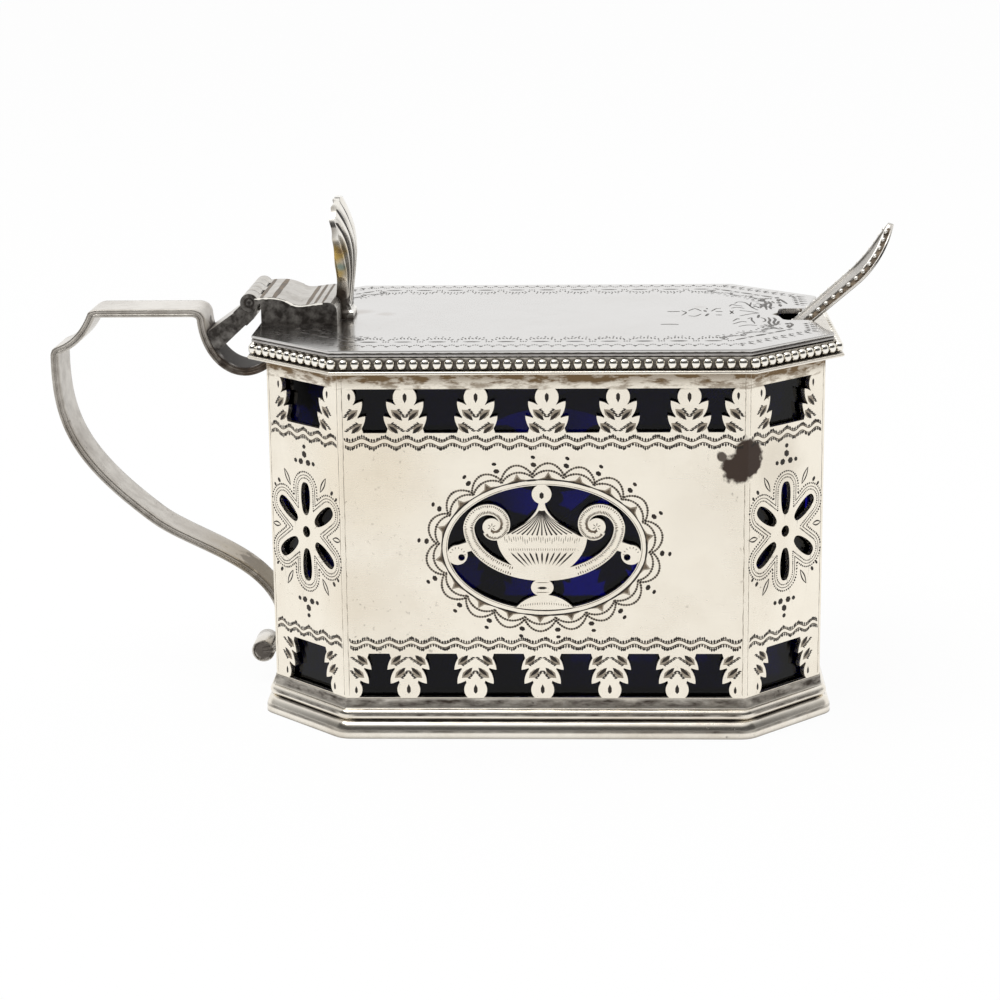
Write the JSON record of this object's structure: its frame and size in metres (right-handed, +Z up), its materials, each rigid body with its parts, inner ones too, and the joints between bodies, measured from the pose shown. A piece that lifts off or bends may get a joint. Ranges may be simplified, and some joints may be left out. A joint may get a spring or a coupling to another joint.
{
  "type": "mustard pot",
  "caption": "Long eight-sided mustard pot with pierced and engraved silver walls, a hinged flat lid with a shell thumbpiece, a scrolled strap handle, a blue glass liner and a spoon.",
  "frame": {"origin": "middle of the base sheet's underside, on the table", "axes": "+X from the handle towards the spoon notch, +Y towards the back wall, +Z up"},
  "size_m": [0.1217, 0.058, 0.0724],
  "materials": {
    "silver_body": "polished silver sheet with dark bright-cut engraving",
    "silver_mouldings": "polished silver with dark tarnish between the steps and beads",
    "silver_handle": "polished silver strap, browned on its inner side",
    "silver_lid": "polished silver plate with fine engraving",
    "silver_thumbpiece": "polished silver, golden tarnish on the stem",
    "silver_spoon": "polished silver with a beaded border",
    "cobalt_glass": "clear, deep cobalt blue"
  },
  "bodies": {
    "pot": {"base_plate": "silver_body", "foot_moulding": "silver_mouldings", "front_panel": "silver_body", "back_panel": "silver_body", "left_panel": "silver_body", "right_panel": "silver_body", "corner_panel_front_left": "silver_body", "corner_panel_front_right": "silver_body", "corner_panel_back_left": "silver_body", "corner_panel_back_right": "silver_body", "rim_moulding": "silver_mouldings", "bead_wire": "silver_mouldings", "handle": "silver_handle", "hinge_arm": "silver_handle", "hinge_pin": "silver_handle"},
    "lid": {"lid_plate": "silver_lid", "lid_hinge_leaf": "silver_lid", "thumbpiece": "silver_thumbpiece"},
    "liner": {"glass_liner": "cobalt_glass"},
    "spoon": {"spoon": "silver_spoon"}
  },
  "joints": [
    {"name": "lid_hinge", "type": "hinge", "parent": "pot", "child": "lid", "pos_m": [-0.0421, 0, 0.0584], "axis": [0, -1, 0], "range_deg": [0, 105]},
    {"name": "liner_lift", "type": "slide", "parent": "pot", "child": "liner", "axis": [0, 0, 1], "range_m": [0, 0.0008]},
    {"name": "spoon_draw", "type": "slide", "parent": "liner", "child": "spoon", "axis": [0.7547, 0, 0.6561], "range_m": [0, 0.045]}
  ]
}
